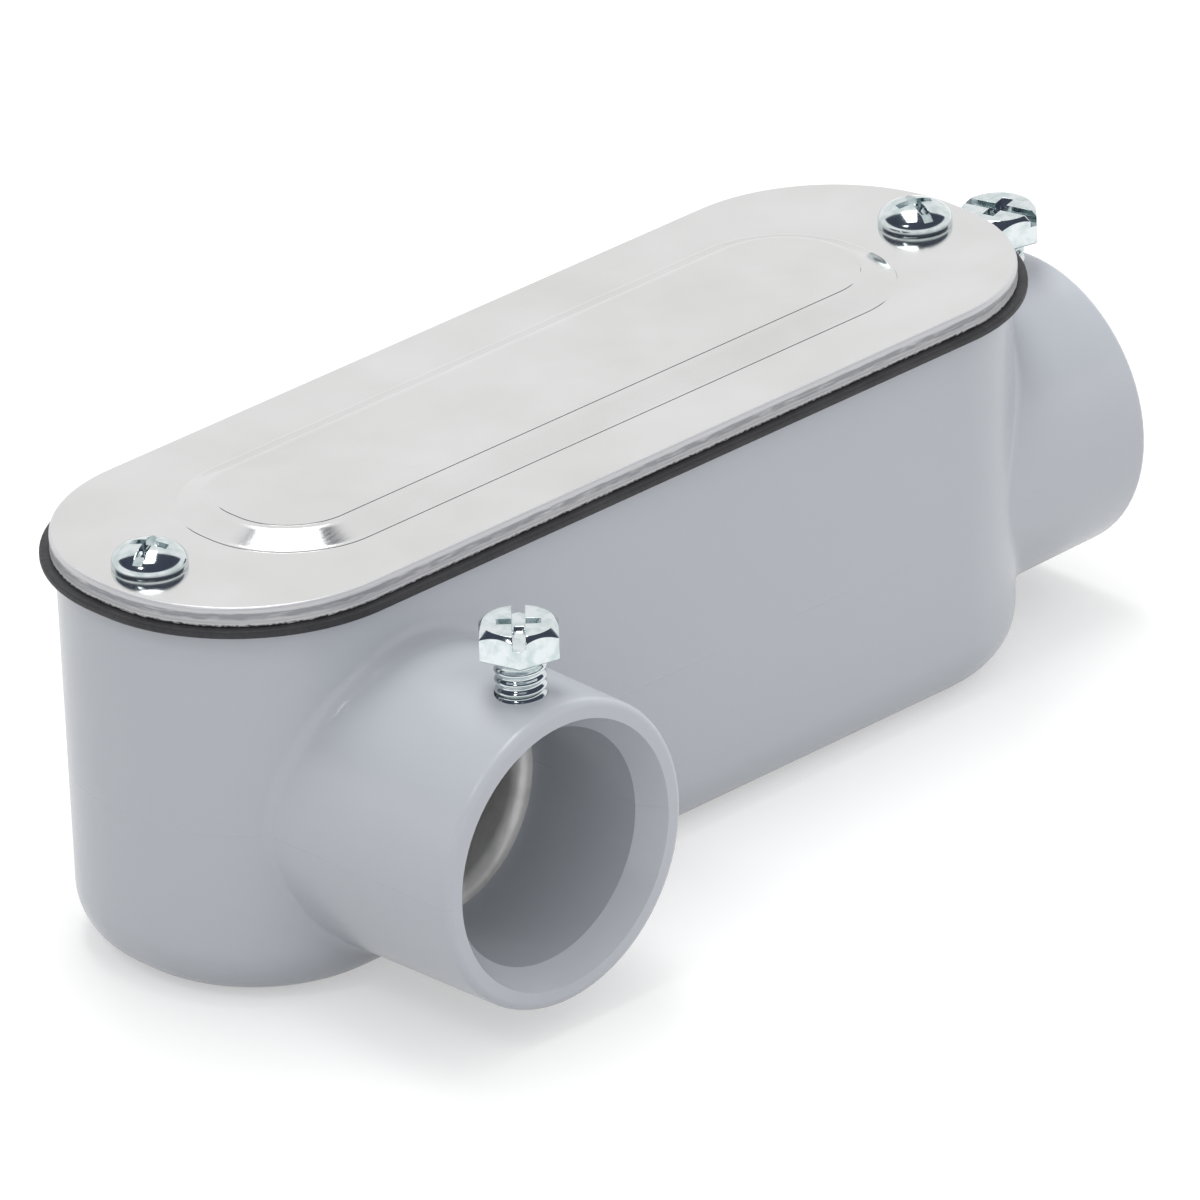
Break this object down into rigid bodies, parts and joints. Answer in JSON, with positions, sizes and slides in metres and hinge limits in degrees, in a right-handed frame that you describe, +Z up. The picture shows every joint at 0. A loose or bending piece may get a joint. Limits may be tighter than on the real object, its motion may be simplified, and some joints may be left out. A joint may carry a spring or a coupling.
{
  "type": "conduit body",
  "caption": "Die-cast set-screw conduit body: a closed trough with a side hub and an end hub, a gasketed screw-on cover and hexagon set screws.",
  "frame": {"origin": "centre of the flat underside of the housing, on its long centre line", "axes": "+X along the body to the end hub, -Y the way the side hub opens, +Z up through the cover"},
  "size_m": [0.1587, 0.072, 0.0569],
  "materials": {
    "painted_casting": "satin",
    "cover_sheet": "satin",
    "gasket_rubber": "matte",
    "plated_steel": "gloss"
  },
  "bodies": {
    "conduit_body": {"housing": "painted_casting", "cover_gasket": "gasket_rubber", "cover": "cover_sheet"},
    "side_set_screw": {"side_hub_set_screw": "plated_steel"},
    "end_set_screw": {"end_hub_set_screw": "plated_steel"},
    "cover_screw_a": {"cover_screw_side_hub_end": "plated_steel"},
    "cover_screw_b": {"cover_screw_end_hub_end": "plated_steel"}
  },
  "joints": [
    {"name": "side_set_screw_travel", "type": "slide", "parent": "conduit_body", "child": "side_set_screw", "axis": [0, 0, 1], "range_m": [-0.005, 0.002]},
    {"name": "end_set_screw_travel", "type": "slide", "parent": "conduit_body", "child": "end_set_screw", "axis": [0, 0, 1], "range_m": [-0.004, 0.003]},
    {"name": "cover_screw_a_travel", "type": "slide", "parent": "conduit_body", "child": "cover_screw_a", "axis": [0, 0, 1], "range_m": [0, 0.005]},
    {"name": "cover_screw_b_travel", "type": "slide", "parent": "conduit_body", "child": "cover_screw_b", "axis": [0, 0, 1], "range_m": [0, 0.005]}
  ]
}
